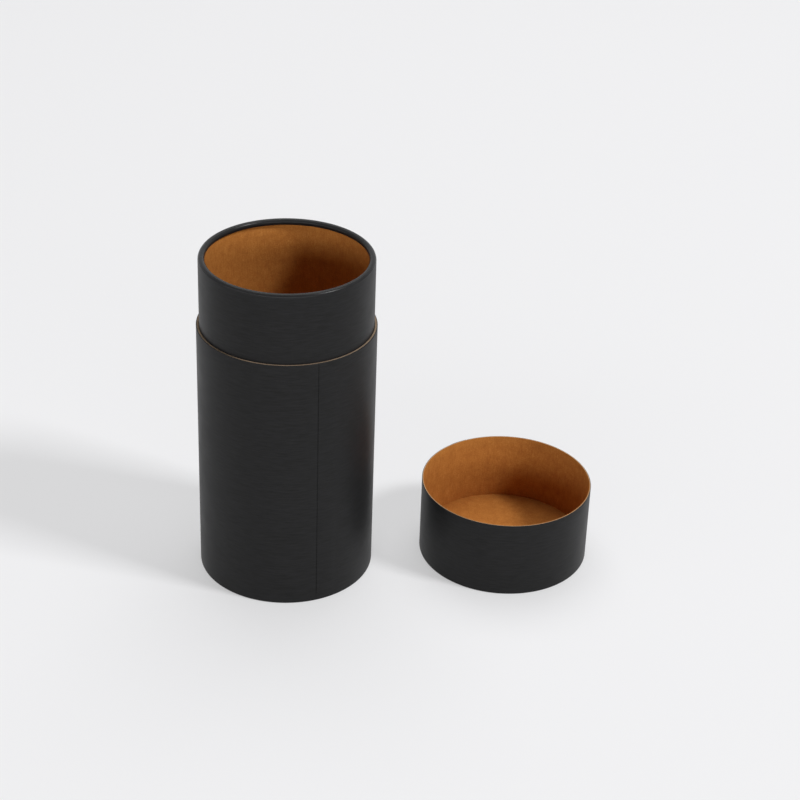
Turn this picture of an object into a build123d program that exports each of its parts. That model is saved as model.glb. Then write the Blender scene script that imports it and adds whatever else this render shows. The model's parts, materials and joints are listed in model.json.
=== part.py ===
"""Cylindrical gift tube box: an outer sleeve, a neck that stands out of it, and the slip lid beside it.

Millimetres, +Z up. The origin is on the tube's own axis, at the level that the tube stands on.
The lid is off and lies upside down, so its mouth looks up and its closed end is at the bottom.
"""

import os
from math import cos, radians, sin

from build123d import *

# Overall sizes
sleeve_radius = 45.0
sleeve_height = 138.7
neck_top = 175.7
lid_height = 42.1
lid_x = 114.8
lid_y = 14.4

# Papers and boards
wrap_paper = 0.15
lining_paper = 0.15
sleeve_board_wall = 1.25
neck_board_wall = 0.9
lid_board_wall = 0.5
disc_board = 2.0

# Fits
glue_gap = 0.1
lid_clearance = 0.1
disc_clearance = 0.1

# Rim of the neck, curled inwards
curl_radius = 1.7
curl_end_angle = 280

# Closed ends, folded inwards under a recessed disc
fold_width = 2.8
fold_height = 2.6
fold_corner = 0.8

# Lap of the black paper, a quarter turn long, thickest at its edge
lap_turn = 90
sleeve_lap_angle = -66.2
lid_lap_angle = 118.0

# Radii that follow
sleeve_board_outer = sleeve_radius - wrap_paper
sleeve_board_inner = sleeve_board_outer - sleeve_board_wall
neck_radius = sleeve_board_inner - glue_gap
neck_board_outer = neck_radius - wrap_paper
neck_board_inner = neck_board_outer - neck_board_wall
neck_bore = neck_board_inner - lining_paper
lid_bore = neck_radius + lid_clearance
lid_board_inner = lid_bore + lining_paper
lid_board_outer = lid_board_inner + lid_board_wall
lid_radius = lid_board_outer + wrap_paper

# Levels that follow: black paper lies on the fold, then the disc, then its brown paper
disc_bottom = fold_height + wrap_paper
disc_top = disc_bottom + disc_board
floor_level = disc_top + lining_paper
curl_level = neck_top - curl_radius

# Sections are drawn beside each axis: across is the radius and up is the height
lid_place = (lid_x, lid_y, 0)
tube_section = Plane.XZ
lid_section = Plane(origin=lid_place, x_dir=(1, 0, 0), z_dir=(0, -1, 0))
tube_axis = Axis.Z
lid_axis = Axis(lid_place, (0, 0, 1))


def band_section(inner, outer, top):
    """A plain band of paper that stands on the floor."""
    with BuildSketch() as section:
        with Locations((inner, floor_level)):
            Rectangle(outer - inner, top - floor_level, align=(Align.MIN, Align.MIN))
    return section.sketch


def folded_section(outer, inner, fold_inner, bottom, top, corner):
    """A wall whose foot is folded inwards and pressed, with both lower corners rounded."""
    foot = bottom + corner
    with BuildSketch() as section:
        with BuildLine():
            CenterArc((outer - corner, foot), corner, -90, 90)
            Polyline((outer, foot), (outer, top), (inner, top), (inner, fold_height))
            Polyline((inner, fold_height), (fold_inner, fold_height), (fold_inner, foot))
            CenterArc((fold_inner + corner, foot), corner, 180, 90)
            Line((fold_inner + corner, bottom), (outer - corner, bottom))
        make_face()
    return section.sketch


def curled_section(outer, thickness, radius):
    """A wall that stands on the floor and ends in a round curl, rolled inwards from its outer face."""
    inner = outer - thickness
    hollow = radius - thickness
    centre = Vector(outer - radius, curl_level)
    end = Vector(cos(radians(curl_end_angle)), sin(radians(curl_end_angle)))
    with BuildSketch() as section:
        with BuildLine():
            CenterArc(centre, radius, 0, curl_end_angle)
            Line(centre + end * radius, centre + end * hollow)
            CenterArc(centre, hollow, curl_end_angle, -curl_end_angle)
            Polyline(
                (inner, curl_level),
                (inner, floor_level),
                (outer, floor_level),
                (outer, curl_level),
            )
        make_face()
    return section.sketch


def lap_section(radius, angle):
    """The lap seen from above: as thick as the paper at its edge, and thinning to nothing."""
    edge = Vector(cos(radians(angle)), sin(radians(angle)))
    side = Vector(cos(radians(angle + lap_turn)), sin(radians(angle + lap_turn)))
    reach = 2 * radius
    with BuildSketch() as section:
        with Locations(edge * wrap_paper):
            Circle(radius)
        Circle(radius - wrap_paper / 2, mode=Mode.SUBTRACT)
        with BuildLine():
            Polyline((0, 0), edge * reach, (edge + side) * reach, side * reach, close=True)
        make_face(mode=Mode.INTERSECT)
    return section.sketch


def save(piece, name):
    piece.part.label = name
    export_step(piece.part, f"parts/{name}.step")


os.makedirs("parts", exist_ok=True)

# Sleeve: the outer tube, of thick board
sleeve_board_section = folded_section(
    sleeve_board_outer,
    sleeve_board_inner,
    sleeve_radius - fold_width + wrap_paper,
    wrap_paper,
    sleeve_height,
    fold_corner - wrap_paper,
)
with BuildPart() as sleeve_board:
    with BuildSketch(tube_section):
        add(sleeve_board_section)
    revolve(axis=tube_axis)
save(sleeve_board, "sleeve_board")

# Black paper on the sleeve, under its foot and up inside the fold, lapped over itself
sleeve_paper_section = folded_section(
    sleeve_radius,
    sleeve_board_inner,
    sleeve_radius - fold_width,
    0,
    sleeve_height,
    fold_corner,
)
with BuildPart() as sleeve_wrap:
    with BuildSketch(tube_section):
        add(sleeve_paper_section)
        add(sleeve_board_section, mode=Mode.SUBTRACT)
    revolve(axis=tube_axis)
    with BuildSketch(Plane.XY.offset(fold_corner)):
        add(lap_section(sleeve_radius, sleeve_lap_angle))
    extrude(amount=sleeve_height - fold_corner)
save(sleeve_wrap, "sleeve_wrap")

# Black paper on the underside of the disc, lying on the fold
with BuildPart() as base_cover:
    with BuildSketch(Plane.XY.offset(fold_height)):
        Circle(sleeve_board_inner - disc_clearance)
    extrude(amount=wrap_paper)
save(base_cover, "base_cover")

# Disc that closes the foot, inside the sleeve
with BuildPart() as base_disc:
    with BuildSketch(Plane.XY.offset(disc_bottom)):
        Circle(sleeve_board_inner - disc_clearance)
    extrude(amount=disc_board)
save(base_disc, "base_disc")

# Brown paper on top of the disc: the floor of the tube
with BuildPart() as base_lining:
    with BuildSketch(Plane.XY.offset(disc_top)):
        Circle(sleeve_board_inner - disc_clearance)
    extrude(amount=lining_paper)
save(base_lining, "base_lining")

# Neck: the inner tube, which stands on the floor and ends in the curled rim
with BuildPart() as neck_board:
    with BuildSketch(tube_section):
        add(curled_section(neck_board_outer, neck_board_wall, curl_radius - wrap_paper))
    revolve(axis=tube_axis)
save(neck_board, "neck_board")

# Black paper on the neck, taken round the curl
with BuildPart() as neck_wrap:
    with BuildSketch(tube_section):
        add(curled_section(neck_radius, wrap_paper, curl_radius))
    revolve(axis=tube_axis)
save(neck_wrap, "neck_wrap")

# Brown paper inside the neck, up into the curl
with BuildPart() as neck_liner:
    with BuildSketch(tube_section):
        add(band_section(neck_bore, neck_board_inner, curl_level))
    revolve(axis=tube_axis)
save(neck_liner, "neck_liner")

# Lid: a short tube of thinner board, cut square at its mouth
lid_board_section = folded_section(
    lid_board_outer,
    lid_board_inner,
    lid_radius - fold_width + wrap_paper,
    wrap_paper,
    lid_height,
    fold_corner - wrap_paper,
)
with BuildPart() as lid_board:
    with BuildSketch(lid_section):
        add(lid_board_section)
    revolve(axis=lid_axis)
save(lid_board, "lid_board")

# Black paper on the lid, round its closed end and into the fold, lapped over itself
lid_paper_section = folded_section(
    lid_radius,
    lid_board_inner,
    lid_radius - fold_width,
    0,
    lid_height,
    fold_corner,
)
with BuildPart() as lid_wrap:
    with BuildSketch(lid_section):
        add(lid_paper_section)
        add(lid_board_section, mode=Mode.SUBTRACT)
    revolve(axis=lid_axis)
    with BuildSketch(Plane(lid_place).offset(fold_corner)):
        add(lap_section(lid_radius, lid_lap_angle))
    extrude(amount=lid_height - fold_corner)
save(lid_wrap, "lid_wrap")

# Black paper on the outside of the lid's disc, lying on the fold
with BuildPart() as lid_disc_cover:
    with BuildSketch(Plane(lid_place).offset(fold_height)):
        Circle(lid_board_inner - disc_clearance)
    extrude(amount=wrap_paper)
save(lid_disc_cover, "lid_disc_cover")

# Disc that closes the lid
with BuildPart() as lid_disc:
    with BuildSketch(Plane(lid_place).offset(disc_bottom)):
        Circle(lid_board_inner - disc_clearance)
    extrude(amount=disc_board)
save(lid_disc, "lid_disc")

# Brown paper on the inside of the lid's disc
with BuildPart() as lid_disc_lining:
    with BuildSketch(Plane(lid_place).offset(disc_top)):
        Circle(lid_board_inner - disc_clearance)
    extrude(amount=lining_paper)
save(lid_disc_lining, "lid_disc_lining")

# Brown paper inside the lid, cut level with the board at the mouth
with BuildPart() as lid_liner:
    with BuildSketch(lid_section):
        add(band_section(lid_bore, lid_board_inner, lid_height))
    revolve(axis=lid_axis)
save(lid_liner, "lid_liner")
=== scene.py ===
import json
from math import atan2, cos, hypot, pi, radians, sin, tau

import bmesh
import bpy
from mathutils import Matrix, Vector, noise


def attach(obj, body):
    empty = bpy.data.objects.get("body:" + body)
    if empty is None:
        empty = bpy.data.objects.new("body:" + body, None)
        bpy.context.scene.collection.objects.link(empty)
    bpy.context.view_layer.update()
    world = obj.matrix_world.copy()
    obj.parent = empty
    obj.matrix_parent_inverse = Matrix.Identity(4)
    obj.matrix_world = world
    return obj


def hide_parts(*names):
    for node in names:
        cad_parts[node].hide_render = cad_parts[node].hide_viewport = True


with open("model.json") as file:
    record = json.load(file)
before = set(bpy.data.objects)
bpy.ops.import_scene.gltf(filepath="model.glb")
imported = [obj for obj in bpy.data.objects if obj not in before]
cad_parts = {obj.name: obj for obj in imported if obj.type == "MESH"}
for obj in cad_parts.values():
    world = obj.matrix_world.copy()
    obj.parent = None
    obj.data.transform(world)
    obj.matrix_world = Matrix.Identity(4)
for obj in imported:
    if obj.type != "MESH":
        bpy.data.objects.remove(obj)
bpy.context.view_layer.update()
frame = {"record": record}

# The scene is in metres: the tube stands on the origin and its lid lies upside down to the right
MM = 0.001

# Sizes and places that the frame states
MOUNTS = {mount["name"]: mount for mount in frame["record"]["mounts"]}
TUBE_PLACE = Vector(MOUNTS["base"]["pos_m"])
LID_PLACE = Vector(MOUNTS["lid_end"]["pos_m"])
SHOULDER = MOUNTS["neck"]["pos_m"][2]
NECK_TOP = SHOULDER + MOUNTS["neck"]["dims"]["length_mm"] * MM
NECK_RADIUS = MOUNTS["neck"]["dims"]["r_mm"] * MM
LID_BORE = MOUNTS["lid_mouth"]["dims"]["r_mm"] * MM
LID_HEIGHT = MOUNTS["lid_mouth"]["pos_m"][2]
FLOOR_LEVEL = LID_HEIGHT - MOUNTS["lid_mouth"]["dims"]["length_mm"] * MM

# Papers, boards and the gaps between them
WRAP = 0.15 * MM
LINING = 0.15 * MM
SLEEVE_WALL = 1.25 * MM
NECK_WALL = 0.9 * MM
LID_WALL = 0.5 * MM
DISC_BOARD = 2 * MM
GLUE_GAP = 0.1 * MM
DISC_GAP = 0.1 * MM

# Folded ends, cut edges and the curled rim
FOLD_WIDTH = 2.8 * MM
FOLD_HEIGHT = FLOOR_LEVEL - LINING - DISC_BOARD - WRAP
FOLD_CORNER = 0.8 * MM
PAPER_EDGE = 0.03 * MM
SLEEVE_LIP = 0.35 * MM
LID_LIP = 0.2 * MM
CURL_RADIUS = 1.7 * MM
CURL_TURN = radians(280)
CURL_LEVEL = NECK_TOP - CURL_RADIUS

# Radii that follow
SLEEVE_BORE = NECK_RADIUS + GLUE_GAP
SLEEVE_RADIUS = SLEEVE_BORE + SLEEVE_WALL + WRAP
NECK_BORE = NECK_RADIUS - WRAP - NECK_WALL - LINING
LID_BOARD_BORE = LID_BORE + LINING
LID_RADIUS = LID_BOARD_BORE + LID_WALL + WRAP

# Laps of the black paper: the edge's direction from the axis, and how the paper lies beside it.
# The sheet is a hair thinner than its space and than its lift, so that its lapped ends don't meet
SLEEVE_LAP_EDGE = radians(-66.2)
LID_LAP_EDGE = radians(118)
LAP_WIDTH = 8 * MM
LAP_SETTLE = 3 * MM
LAP_LIFT = WRAP * 0.98
LAPPED_SHEET = WRAP * 0.97
CREASE_WIDTH = 0.3 * MM
CREASE_DEPTH = 0.1 * MM

# Plies of the wound boards, as their cut edges show them
TUBE_PLY = 0.31 * MM
LID_PLY = 0.25 * MM

# The backdrop as it is seen, where a strength of 1 is white
BACKDROP_COLOUR = "#FEFEFF"
BACKDROP_STRENGTH = 0.87

# Fineness of the meshes: steps round the axis and round the curl, and rows up the walls
ROUND_STEPS = 288
CURLED_ROUND_STEPS = 576
CURL_STEPS = 36
FINE_STRIP = 2 * MM
FINE_STEPS = 20
TUCKED_STEPS = 12
WRAP_ROWS = 6 * MM
LINING_ROWS = 8 * MM
WALL_ROWS = 12 * MM
SHARP = radians(35)


def linear(code):
    """An sRGB hex colour as the linear colour that a shader takes."""
    channels = [int(code[at:at + 2], 16) / 255 for at in (1, 3, 5)]
    lit = [c / 12.92 if c <= 0.04045 else ((c + 0.055) / 1.055) ** 2.4 for c in channels]
    return (*lit, 1)


def add(tree, kind, settings=None, links=None):
    """A node with its settings and its inputs, which are values or other nodes' outputs."""
    node = tree.nodes.new(kind)
    for name, value in (settings or {}).items():
        setattr(node, name, value)
    for name, value in (links or {}).items():
        if isinstance(value, bpy.types.NodeSocket):
            tree.links.new(value, node.inputs[name])
        else:
            node.inputs[name].default_value = value
    return node


def ramp(tree, factor, stops):
    """A colour ramp over places from 0 to 1."""
    node = add(tree, "ShaderNodeValToRGB", links={"Fac": factor})
    elements = node.color_ramp.elements
    while len(elements) < len(stops):
        elements.new(0.5)
    for element, (place, colour) in zip(elements, stops):
        element.position = place
        element.color = colour
    return node.outputs["Color"]


def spread(tree, value, low, high, start=0.3, end=0.7):
    """One range as another. Noise lies mostly between 0.3 and 0.7, so that is the usual start."""
    scaled = add(
        tree,
        "ShaderNodeMapRange",
        links={"Value": value, "From Min": start, "From Max": end, "To Min": low, "To Max": high},
    )
    return scaled.outputs["Result"]


def between(tree, factor, low, high):
    """A value between two others."""
    mixed = add(
        tree,
        "ShaderNodeMix",
        {"data_type": "FLOAT"},
        {"Factor": factor, "A": low, "B": high},
    )
    return mixed.outputs["Result"]


def tinted(tree, colour, tint):
    """A colour multiplied by a tint. The mix node's colour sockets are known by number only."""
    mixed = add(
        tree,
        "ShaderNodeMix",
        {"data_type": "RGBA", "blend_type": "MULTIPLY"},
        {"Factor": 1.0, 6: colour, 7: tint},
    )
    return mixed.outputs[2]


def grain(tree, size, detail=3.0, roughness=0.6):
    """Noise whose patches have a real size: one length, or one for each of the three directions."""
    coords = add(tree, "ShaderNodeTexCoord").outputs["Object"]
    sizes = size if isinstance(size, tuple) else (size, size, size)
    placed = add(
        tree,
        "ShaderNodeMapping",
        {"vector_type": "TEXTURE"},
        {"Vector": coords, "Scale": sizes},
    )
    node = add(
        tree,
        "ShaderNodeTexNoise",
        links={
            "Vector": placed.outputs["Vector"],
            "Scale": 1.0,
            "Detail": detail,
            "Roughness": roughness,
        },
    )
    return node.outputs["Fac"]


def relief(tree, height, depth, under=None):
    """Bump of a real depth, on top of another bump if there is one."""
    links = {"Height": height, "Strength": 1.0, "Distance": depth}
    if under:
        links["Normal"] = under
    return add(tree, "ShaderNodeBump", links=links).outputs["Normal"]


def material(name):
    made = bpy.data.materials.new(name)
    made.use_nodes = True
    made.node_tree.nodes.clear()
    return made, made.node_tree


def finish(tree, shader):
    add(tree, "ShaderNodeOutputMaterial", links={"Surface": shader})


def finish_paper(tree, tone, rough, normal, sheen):
    """The surface that papers and boards share: rough, with a sheen of its own strength."""
    shader = add(
        tree,
        "ShaderNodeBsdfPrincipled",
        links={
            "Base Color": tone,
            "Roughness": rough,
            "Normal": normal,
            "IOR": 1.5,
            "Specular IOR Level": sheen,
        },
    )
    finish(tree, shader.outputs["BSDF"])


def black_paper(name, burnished_from=None):
    """Black coated wrapping paper, calendered: near black with a soft sheen, which shows short
    level streaks from the mill and fine fibres. Above a level it is burnished by the curling tool."""
    made, tree = material(name)
    streaks = grain(tree, (7 * MM, 7 * MM, 0.6 * MM), detail=4.0, roughness=0.65)
    fibres = grain(tree, 0.5 * MM, detail=4.0, roughness=0.65)
    clouds = grain(tree, 16 * MM, detail=2.0)
    tone = ramp(tree, streaks, [(0.35, linear("#191919")), (0.65, linear("#212122"))])
    rough = spread(tree, clouds, 0.42, 0.48)
    sheen = 0.125
    if burnished_from:
        place = add(tree, "ShaderNodeTexCoord").outputs["Object"]
        level = add(tree, "ShaderNodeSeparateXYZ", links={"Vector": place}).outputs["Z"]
        fade = 0.6 * MM
        burnished = spread(tree, level, 0.0, 1.0, burnished_from, burnished_from + fade)
        rough = between(tree, burnished, rough, 0.27)
        sheen = between(tree, burnished, sheen, 0.14)
    normal = relief(tree, fibres, 0.006 * MM, relief(tree, streaks, 0.008 * MM))
    finish_paper(tree, tone, rough, normal, sheen)
    return made


def kraft_paper():
    """Brown kraft lining paper, unbleached: matt, faintly clouded, with fine fibres that run upright."""
    made, tree = material("brown_kraft_paper")
    clouds = grain(tree, 3.5 * MM)
    fibres = grain(tree, (0.5 * MM, 0.5 * MM, 5 * MM), detail=4.0, roughness=0.7)
    flecks = grain(tree, 0.6 * MM, detail=5.0, roughness=0.75)
    mottled = between(tree, 0.5, between(tree, 0.5, clouds, fibres), flecks)
    tone = ramp(
        tree,
        mottled,
        [(0.35, linear("#9A5F2D")), (0.5, linear("#B17235")), (0.65, linear("#C58745"))],
    )
    normal = relief(tree, flecks, 0.02 * MM, relief(tree, fibres, 0.02 * MM))
    finish_paper(tree, tone, 0.85, normal, 0.08)
    return made


def cut_board(name, place, ply, glue_line, pulp):
    """Wound brown tube board, cut square: plies of pulp with a thin darker line of glue between them."""
    made, tree = material(name)
    coords = add(tree, "ShaderNodeTexCoord").outputs["Object"]
    centred = add(
        tree,
        "ShaderNodeMapping",
        links={"Vector": coords, "Location": (-place.x, -place.y, 0), "Scale": (1, 1, 0)},
    )
    radius = add(
        tree,
        "ShaderNodeVectorMath",
        {"operation": "LENGTH"},
        {0: centred.outputs["Vector"]},
    )
    from_line = add(
        tree,
        "ShaderNodeMath",
        {"operation": "PINGPONG"},
        {0: radius.outputs["Value"], 1: ply / 2},
    ).outputs["Value"]
    plies = ramp(
        tree,
        spread(tree, from_line, 0.0, 1.0, 0.0, ply / 2),
        [(0.0, linear(glue_line)), (0.35, linear(pulp))],
    )
    flecks = grain(tree, 0.35 * MM, detail=4.0, roughness=0.7)
    specks = ramp(tree, flecks, [(0.35, linear("#C4C4C4")), (0.65, linear("#FFFFFF"))])
    finish_paper(tree, tinted(tree, plies, specks), 0.9, relief(tree, flecks, 0.03 * MM), 0.2)
    return made


def outline(points, closed=False):
    """An outline beside the axis, as a wire: radius across and height up."""
    bm = bmesh.new()
    corners = [bm.verts.new((across, 0, up)) for across, up in points]
    for start, end in zip(corners, corners[1:]):
        bm.edges.new((start, end))
    if closed:
        bm.edges.new((corners[-1], corners[0]))
    return bm, corners


def round_corners(bm, corners, radius, segments):
    """Round some corners of an outline."""
    bmesh.ops.bevel(
        bm,
        geom=corners,
        offset=radius,
        segments=segments,
        profile=0.5,
        affect="VERTICES",
        material=-1,
    )


def add_rows(bm, spacing):
    """Cut the long runs of an outline, so that the wall can follow a shape."""
    for edge in list(bm.edges):
        cuts = int(edge.calc_length() / spacing)
        if cuts:
            bmesh.ops.subdivide_edges(bm, edges=[edge], cuts=cuts)


def turn(bm, geom, angle, steps, closed=False):
    """Spin an outline about the upright axis, and return the last column that it makes."""
    made = bmesh.ops.spin(
        bm,
        geom=geom,
        cent=(0, 0, 0),
        axis=(0, 0, 1),
        angle=angle,
        steps=steps,
        use_merge=closed,
    )
    return made["geom_last"]


def turn_whole(bm, steps=ROUND_STEPS):
    """Spin an outline all the way round, and close the seam and the pole."""
    turn(bm, bm.verts[:] + bm.edges[:], tau, steps, closed=True)
    bmesh.ops.remove_doubles(bm, verts=bm.verts, dist=1e-8)


def face_out(bm, place, direction):
    """Turn all faces one way, so that the face nearest to a place looks in a direction."""
    bmesh.ops.recalc_face_normals(bm, faces=bm.faces)
    nearest = min(bm.faces, key=lambda face: (face.calc_center_median() - place).length)
    if nearest.normal.dot(direction) < 0:
        bmesh.ops.reverse_faces(bm, faces=bm.faces)


def away(angle):
    """The level direction at an angle about the upright axis."""
    return Vector((cos(angle), sin(angle), 0))


def ease(share):
    """A share from 0 to 1, held to that range and smoothed at both ends."""
    held = min(max(share, 0), 1)
    return held * held * (3 - 2 * held)


def piece(bm, name, place, body, nodes, finish_material):
    """Finish a mesh as an object of the scene that stands for CAD nodes."""
    bmesh.ops.translate(bm, verts=bm.verts, vec=place)
    for face in bm.faces:
        face.smooth = True
    for edge in bm.edges:
        edge.smooth = edge.calc_face_angle(0) < SHARP
    mesh = bpy.data.meshes.new(name)
    bm.to_mesh(mesh)
    bm.free()
    mesh.materials.append(finish_material)
    made = bpy.data.objects.new(name, mesh)
    bpy.context.scene.collection.objects.link(made)
    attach(made, body)
    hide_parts(*nodes)


def lay_lap(bm, tucked, lap_edge, radius):
    """Lift the paper by its own thickness over its tucked end, and press a crease beside the edge."""
    whole_turn = tau * radius
    for vert in bm.verts:
        across = hypot(vert.co.x, vert.co.y)
        upright = ease((across - (radius - FOLD_CORNER)) / FOLD_CORNER)
        if vert in tucked or not upright:
            continue
        along = ((atan2(vert.co.y, vert.co.x) - lap_edge + 1e-5) % tau) * radius
        clear = ease((vert.co.z - FOLD_CORNER) / LAP_SETTLE) * upright
        lift = LAP_LIFT * ease((LAP_WIDTH + LAP_SETTLE - along) / LAP_SETTLE)
        dent = CREASE_DEPTH * ease(1 - (whole_turn - along) / (2 * CREASE_WIDTH))
        vert.co.x *= 1 + (lift - dent) * clear / across
        vert.co.y *= 1 + (lift - dent) * clear / across


def lapped_wrap(radius, top, lip, lap_edge):
    """Black paper round a tube: over its cut edge, down its wall, under its foot and inside the fold."""
    bm, corners = outline(
        [
            (radius - lip - WRAP / 2, top),
            (radius, top),
            (radius, 0),
            (radius - FOLD_WIDTH, 0),
            (radius - FOLD_WIDTH, FOLD_HEIGHT),
        ]
    )
    round_corners(bm, corners[1:2], lip, segments=5)
    round_corners(bm, corners[2:4], FOLD_CORNER, segments=8)
    add_rows(bm, WRAP_ROWS)
    bmesh.ops.rotate(bm, verts=bm.verts, cent=(0, 0, 0), matrix=Matrix.Rotation(lap_edge, 3, "Z"))
    fine_turn = FINE_STRIP / radius
    short_of_edge = 0.999
    column = turn(bm, bm.verts[:] + bm.edges[:], tau - fine_turn, ROUND_STEPS)
    column = turn(bm, column, fine_turn * short_of_edge, FINE_STEPS)
    laid = set(bm.verts)
    turn(bm, column, LAP_WIDTH / radius, TUCKED_STEPS)
    lay_lap(bm, set(bm.verts) - laid, lap_edge, radius)
    far_side = away(lap_edge + pi)
    face_out(bm, far_side * radius + Vector((0, 0, top / 2)), far_side)
    bmesh.ops.solidify(bm, geom=bm.faces, thickness=LAPPED_SHEET)
    return bm


def folded_board(outer, bore, top, lip):
    """A wall of board with its foot folded inwards, its cut edge level with the black paper's."""
    fold = outer + WRAP - FOLD_WIDTH + WRAP
    ledge = outer - lip + WRAP / 2
    bm, corners = outline(
        [
            (outer, WRAP),
            (outer, top - WRAP),
            (ledge, top - WRAP),
            (ledge, top),
            (bore, top),
            (bore, FOLD_HEIGHT),
            (fold, FOLD_HEIGHT),
            (fold, WRAP),
        ],
        closed=True,
    )
    round_corners(bm, corners[1:2], (lip - WRAP) * 0.9, segments=3)
    round_corners(bm, corners[4:5], lip * 0.8, segments=4)
    round_corners(bm, [corners[0], corners[7]], FOLD_CORNER - WRAP, segments=6)
    add_rows(bm, WALL_ROWS)
    turn_whole(bm)
    face_out(bm, Vector((outer, 0, top / 2)), Vector((1, 0, 0)))
    return bm


def lining(outer, bore, top):
    """Brown paper that stands on the floor inside a wall, with softened cut edges."""
    bm, corners = outline(
        [(outer, FLOOR_LEVEL), (outer, top), (bore, top), (bore, FLOOR_LEVEL)],
        closed=True,
    )
    round_corners(bm, corners, PAPER_EDGE, segments=2)
    add_rows(bm, LINING_ROWS)
    turn_whole(bm)
    face_out(bm, Vector((outer, 0, top / 2)), Vector((1, 0, 0)))
    return bm


def paper_disc(radius, bottom):
    """A round sheet of paper, with a softened cut edge."""
    top = bottom + WRAP
    bm, corners = outline([(0, bottom), (radius, bottom), (radius, top), (0, top)])
    round_corners(bm, corners[1:3], PAPER_EDGE, segments=2)
    add_rows(bm, LINING_ROWS)
    turn_whole(bm)
    face_out(bm, Vector((radius, 0, bottom)), Vector((1, 0, 0)))
    return bm


def crease_curl(bm, centre):
    """Small creases where the paper is drawn in round the curl, deeper towards the inside."""
    depth = 0.07 * MM
    width = 1.4 * MM
    for vert in bm.verts:
        across = hypot(vert.co.x, vert.co.y)
        spot = Vector((across - centre.x, 0, vert.co.z - centre.z))
        if vert.co.z < centre.z and across > centre.x:
            continue
        inward = ease((centre.x + CURL_RADIUS - across) / (2 * CURL_RADIUS))
        around = away(atan2(vert.co.y, vert.co.x)) * centre.x / width
        dent = depth * inward * (0.5 + 0.5 * noise.noise(around))
        spot *= 1 - dent / CURL_RADIUS
        vert.co.x *= (centre.x + spot.x) / across
        vert.co.y *= (centre.x + spot.x) / across
        vert.co.z = centre.z + spot.z


def curled_neck():
    """Black paper up the neck and round its curled rim."""
    centre = Vector((NECK_RADIUS - CURL_RADIUS, 0, CURL_LEVEL))
    bm, corners = outline([(NECK_RADIUS, FLOOR_LEVEL), (NECK_RADIUS, CURL_LEVEL)])
    bmesh.ops.spin(
        bm,
        geom=[corners[1]],
        cent=centre,
        axis=(0, 1, 0),
        angle=-CURL_TURN,
        steps=CURL_STEPS,
    )
    add_rows(bm, WALL_ROWS)
    turn_whole(bm, CURLED_ROUND_STEPS)
    crease_curl(bm, centre)
    face_out(bm, Vector((NECK_RADIUS, 0, SHOULDER)), Vector((1, 0, 0)))
    bmesh.ops.solidify(bm, geom=bm.faces, thickness=WRAP)
    return bm


def build_tube(black, burnished, kraft, board):
    wrap = lapped_wrap(SLEEVE_RADIUS, SHOULDER, SLEEVE_LIP, SLEEVE_LAP_EDGE)
    piece(wrap, "sleeve_paper", TUBE_PLACE, "tube", ["sleeve_wrap"], black)
    wall = folded_board(SLEEVE_RADIUS - WRAP, SLEEVE_BORE, SHOULDER, SLEEVE_LIP)
    piece(wall, "sleeve_core", TUBE_PLACE, "tube", ["sleeve_board"], board)
    neck = curled_neck()
    piece(neck, "neck_paper", TUBE_PLACE, "tube", ["neck_wrap"], burnished)
    inside = lining(NECK_BORE + LINING, NECK_BORE, CURL_LEVEL)
    piece(inside, "neck_lining", TUBE_PLACE, "tube", ["neck_liner"], kraft)
    floor = paper_disc(SLEEVE_BORE - DISC_GAP, FLOOR_LEVEL - LINING)
    piece(floor, "tube_floor", TUBE_PLACE, "tube", ["base_lining"], kraft)
    cover = paper_disc(SLEEVE_BORE - DISC_GAP, FOLD_HEIGHT)
    piece(cover, "foot_cover", TUBE_PLACE, "tube", ["base_cover"], black)


def build_lid(black, kraft, board):
    wrap = lapped_wrap(LID_RADIUS, LID_HEIGHT, LID_LIP, LID_LAP_EDGE)
    piece(wrap, "lid_paper", LID_PLACE, "lid", ["lid_wrap"], black)
    wall = folded_board(LID_RADIUS - WRAP, LID_BOARD_BORE, LID_HEIGHT, LID_LIP)
    piece(wall, "lid_core", LID_PLACE, "lid", ["lid_board"], board)
    inside = lining(LID_BOARD_BORE, LID_BORE, LID_HEIGHT)
    piece(inside, "lid_lining", LID_PLACE, "lid", ["lid_liner"], kraft)
    floor = paper_disc(LID_BOARD_BORE - DISC_GAP, FLOOR_LEVEL - LINING)
    piece(floor, "lid_floor", LID_PLACE, "lid", ["lid_disc_lining"], kraft)
    cover = paper_disc(LID_BOARD_BORE - DISC_GAP, FOLD_HEIGHT)
    piece(cover, "end_cover", LID_PLACE, "lid", ["lid_disc_cover"], black)


def finish_cad_nodes(board):
    """The board inside the neck and the discs keep their CAD shapes."""
    for name in ("neck_board", "base_disc", "lid_disc"):
        for slot in bpy.data.objects[name].material_slots:
            slot.material = board


def set_camera():
    """The photograph's view: 30 degrees down, with a slight roll."""
    place = Vector((57.36, -875.96, 602.86)) * MM
    pitch = radians(30.033)
    roll = radians(2.053)
    focal_pixels = 1998.6
    frame_pixels = 800
    camera = bpy.data.cameras.new("camera")
    camera.sensor_width = 36
    camera.lens = focal_pixels / frame_pixels * camera.sensor_width
    camera.clip_start = 0.01
    holder = bpy.data.objects.new("camera", camera)
    bpy.context.scene.collection.objects.link(holder)
    tilt = Matrix.Rotation(pi / 2 - pitch, 4, "X") @ Matrix.Rotation(roll, 4, "Z")
    holder.matrix_world = Matrix.Translation(place) @ tilt
    bpy.context.scene.camera = holder


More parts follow.
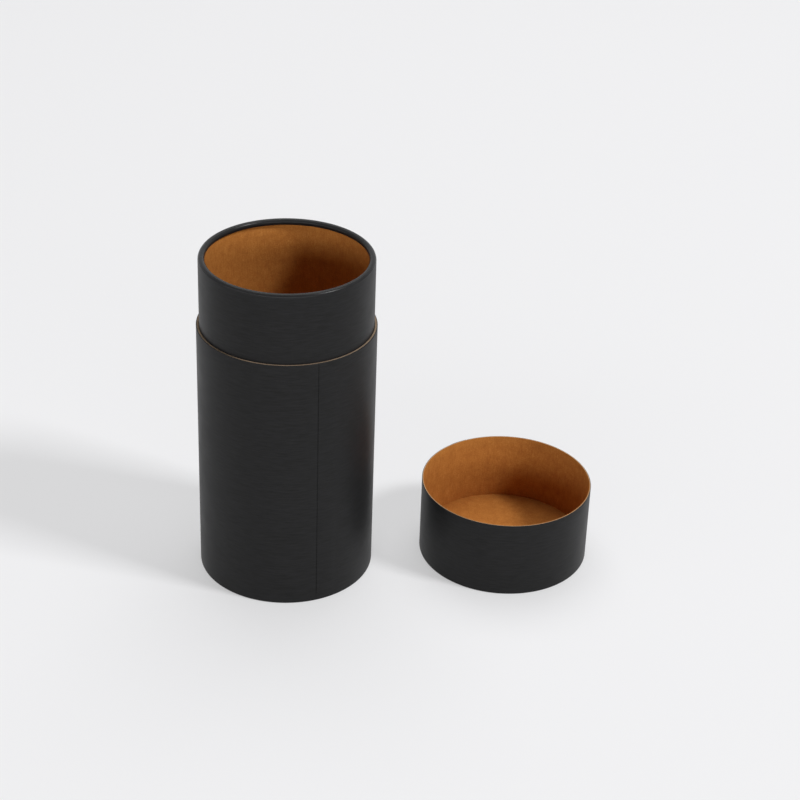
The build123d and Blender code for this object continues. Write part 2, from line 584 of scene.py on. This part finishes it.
def softbox(name, azimuth, elevation, distance, width, height, power):
    """A softbox that looks at the object, out of the camera's sight."""
    lamp = bpy.data.lights.new(name, "AREA")
    lamp.shape = "RECTANGLE"
    lamp.size = width
    lamp.size_y = height
    lamp.energy = power
    holder = bpy.data.objects.new(name, lamp)
    bpy.context.scene.collection.objects.link(holder)
    target = Vector((50, 0, 50)) * MM
    toward = away(radians(azimuth)) * cos(radians(elevation))
    toward.z = sin(radians(elevation))
    holder.location = target + toward * distance
    holder.rotation_euler = toward.to_track_quat("Z", "Y").to_euler()
    holder.visible_camera = False


def seen_as_background(tree):
    """1 for the camera and for mirrored or clear views of a surface, 0 for the light that it scatters."""
    path = add(tree, "ShaderNodeLightPath")
    looks = [path.outputs[f"Is {kind} Ray"] for kind in ("Camera", "Glossy", "Transmission")]
    either = looks[0]
    for look in looks[1:]:
        either = add(
            tree,
            "ShaderNodeMath",
            {"operation": "MAXIMUM"},
            {0: either, 1: look},
        ).outputs["Value"]
    return either


def studio_room():
    """A dim grey room, which is seen and mirrored as a pale backdrop."""
    world = bpy.data.worlds.new("studio_room")
    world.use_nodes = True
    tree = world.node_tree
    tree.nodes.clear()
    strength = add(
        tree,
        "ShaderNodeMapRange",
        links={"Value": seen_as_background(tree), "To Min": 0.1, "To Max": BACKDROP_STRENGTH},
    )
    room = add(
        tree,
        "ShaderNodeBackground",
        links={"Color": linear(BACKDROP_COLOUR), "Strength": strength.outputs["Result"]},
    )
    add(tree, "ShaderNodeOutputWorld", links={"Surface": room.outputs["Background"]})
    bpy.context.scene.world = world


def set_light():
    """A key high on the right, wide low boxes in front and on the left, and one overhead and behind.
    Directions are in degrees from the right, over the back, and up; lengths in metres; power in watts."""
    softbox("key_softbox", -21, 44.5, distance=6, width=1.1, height=1.1, power=207)
    softbox("wide_front_softbox", -90, 13.5, distance=3, width=4.2, height=0.48, power=38)
    softbox("left_front_softbox", -147.5, 11, distance=3, width=2.5, height=0.8, power=12)
    softbox("overhead_softbox", 90, 68, distance=3, width=2.6, height=2.6, power=50)
    studio_room()


def set_floor():
    """A pale studio floor. Where it is looked at it is lifted a little, so that its shadows stay pale,
    and well away from the object it passes into the backdrop."""
    reach = 4
    passes_from = 1.2
    passes_to = 3
    bm = bmesh.new()
    bmesh.ops.create_grid(bm, x_segments=1, y_segments=1, size=reach)
    mesh = bpy.data.meshes.new("studio_floor")
    bm.to_mesh(mesh)
    bm.free()
    floor = bpy.data.objects.new("studio_floor", mesh)
    bpy.context.scene.collection.objects.link(floor)
    made, tree = material("pale_studio_floor")
    plain = add(tree, "ShaderNodeBsdfDiffuse", links={"Color": linear("#EFEFEF")})
    shaded = add(tree, "ShaderNodeBsdfDiffuse", links={"Color": linear("#B6B6B8")})
    lifted = add(tree, "ShaderNodeEmission", links={"Color": linear("#FFFFFF"), "Strength": 0.4})
    pale = add(
        tree,
        "ShaderNodeAddShader",
        links={0: shaded.outputs["BSDF"], 1: lifted.outputs["Emission"]},
    )
    spot = add(tree, "ShaderNodeTexCoord").outputs["Object"]
    distance = add(tree, "ShaderNodeVectorMath", {"operation": "LENGTH"}, {0: spot}).outputs["Value"]
    backdrop = add(
        tree,
        "ShaderNodeEmission",
        links={"Color": linear(BACKDROP_COLOUR), "Strength": BACKDROP_STRENGTH},
    )
    seen = add(
        tree,
        "ShaderNodeMixShader",
        links={
            0: spread(tree, distance, 0.0, 1.0, passes_from, passes_to),
            1: pale.outputs["Shader"],
            2: backdrop.outputs["Emission"],
        },
    )
    mixed = add(
        tree,
        "ShaderNodeMixShader",
        links={0: seen_as_background(tree), 1: plain.outputs["BSDF"], 2: seen.outputs["Shader"]},
    )
    finish(tree, mixed.outputs["Shader"])
    mesh.materials.append(made)


black = black_paper("black_coated_paper")
burnished = black_paper("black_paper_burnished_curl", CURL_LEVEL)
kraft = kraft_paper()
tube_board = cut_board("wound_tube_board", TUBE_PLACE, TUBE_PLY, "#7E6A57", "#AB947C")
lid_board = cut_board("wound_lid_board", LID_PLACE, LID_PLY, "#A07B58", "#D2AD85")
build_tube(black, burnished, kraft, tube_board)
build_lid(black, kraft, lid_board)
finish_cad_nodes(tube_board)
set_floor()
set_camera()
set_light()
bpy.context.scene.view_settings.view_transform = "Standard"
